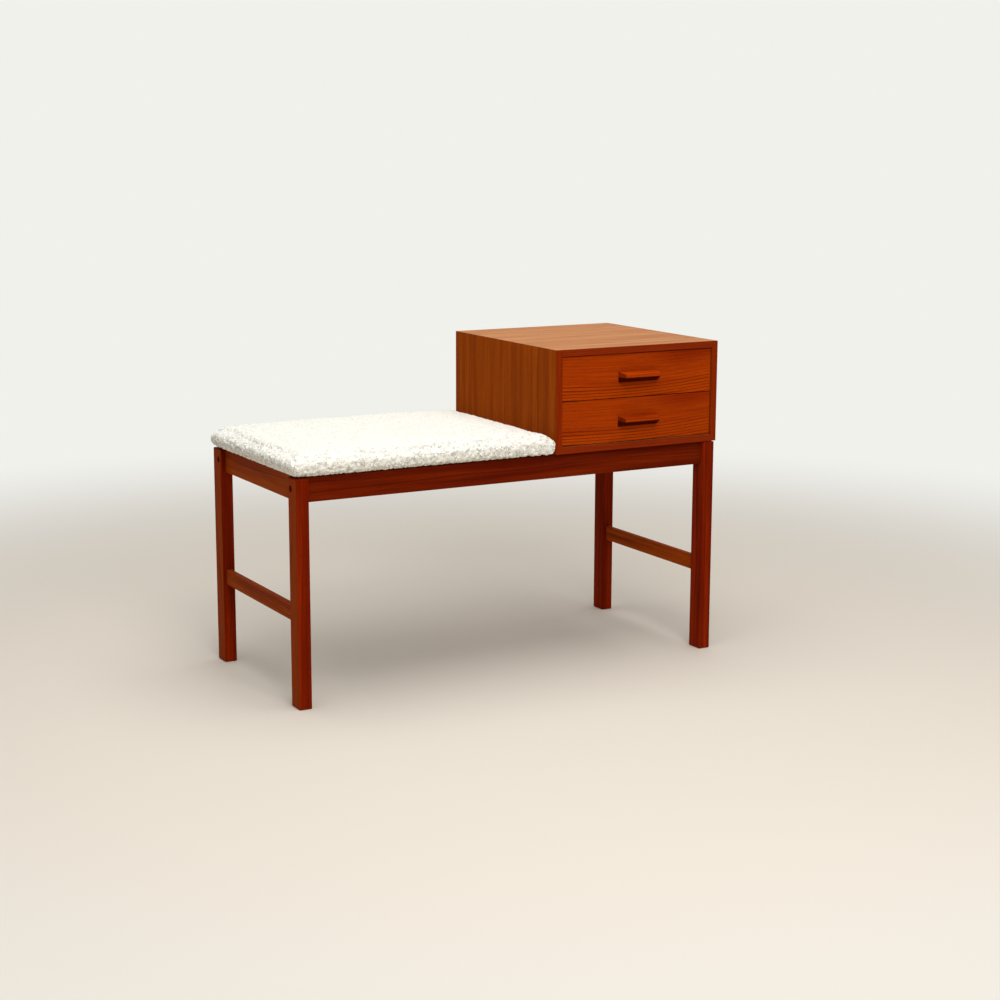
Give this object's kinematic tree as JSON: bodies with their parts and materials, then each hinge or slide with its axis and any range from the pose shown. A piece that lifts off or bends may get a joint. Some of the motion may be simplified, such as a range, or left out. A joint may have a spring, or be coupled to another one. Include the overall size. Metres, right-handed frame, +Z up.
{
  "type": "telephone bench",
  "caption": "Low wooden bench with a padded seat at one end and a small cabinet with sliding drawers at the other, on an open four-legged frame.",
  "frame": {"origin": "on the floor, under the middle of the bench's overall length and depth", "axes": "+X along the bench from the seat to the cabinet, +Y from front to rear, +Z up"},
  "size_m": [0.8784, 0.4078, 0.6028],
  "materials": {
    "teak": "satin",
    "beech": "satin",
    "plywood": "matte",
    "boucle": "matte",
    "foam": "matte",
    "lining": "matte",
    "steel": "satin"
  },
  "bodies": {
    "bench": {"back_screws": "steel", "barrel_nuts": "steel", "batten_screws": "steel", "cabinet_batten_left": "beech", "cabinet_batten_right": "beech", "case_back": "plywood", "case_bottom": "teak", "case_left_side": "teak", "case_right_side": "teak", "case_screws": "steel", "case_tongues": "plywood", "case_top": "teak", "connecting_bolts": "steel", "end_rail_dowels": "beech", "front_left_leg": "teak", "front_rail": "teak", "front_right_leg": "teak", "left_end_rail": "teak", "left_stretcher": "teak", "locating_dowels": "beech", "lower_left_runner": "beech", "lower_right_runner": "beech", "rear_left_leg": "teak", "rear_rail": "teak", "rear_right_leg": "teak", "right_end_rail": "teak", "right_stretcher": "teak", "runner_screws": "steel", "seat_batten_left": "beech", "seat_batten_right": "beech", "seat_board": "plywood", "seat_cover": "boucle", "seat_foam": "foam", "seat_lining": "lining", "seat_screws": "steel", "upper_left_runner": "beech", "upper_right_runner": "beech"},
    "upper_drawer": {"upper_drawer_back": "beech", "upper_drawer_bottom": "plywood", "upper_drawer_bottom_screw": "steel", "upper_drawer_front": "teak", "upper_drawer_left_side": "beech", "upper_drawer_pull": "teak", "upper_drawer_pull_screws": "steel", "upper_drawer_right_side": "beech"},
    "lower_drawer": {"lower_drawer_back": "beech", "lower_drawer_bottom": "plywood", "lower_drawer_bottom_screw": "steel", "lower_drawer_front": "teak", "lower_drawer_left_side": "beech", "lower_drawer_pull": "teak", "lower_drawer_pull_screws": "steel", "lower_drawer_right_side": "beech"}
  },
  "joints": [
    {"name": "upper_drawer_slide", "type": "slide", "parent": "bench", "child": "upper_drawer", "axis": [0, -1, 0], "range_m": [0, 0.24]},
    {"name": "lower_drawer_slide", "type": "slide", "parent": "bench", "child": "lower_drawer", "axis": [0, -1, 0], "range_m": [0, 0.24]}
  ]
}
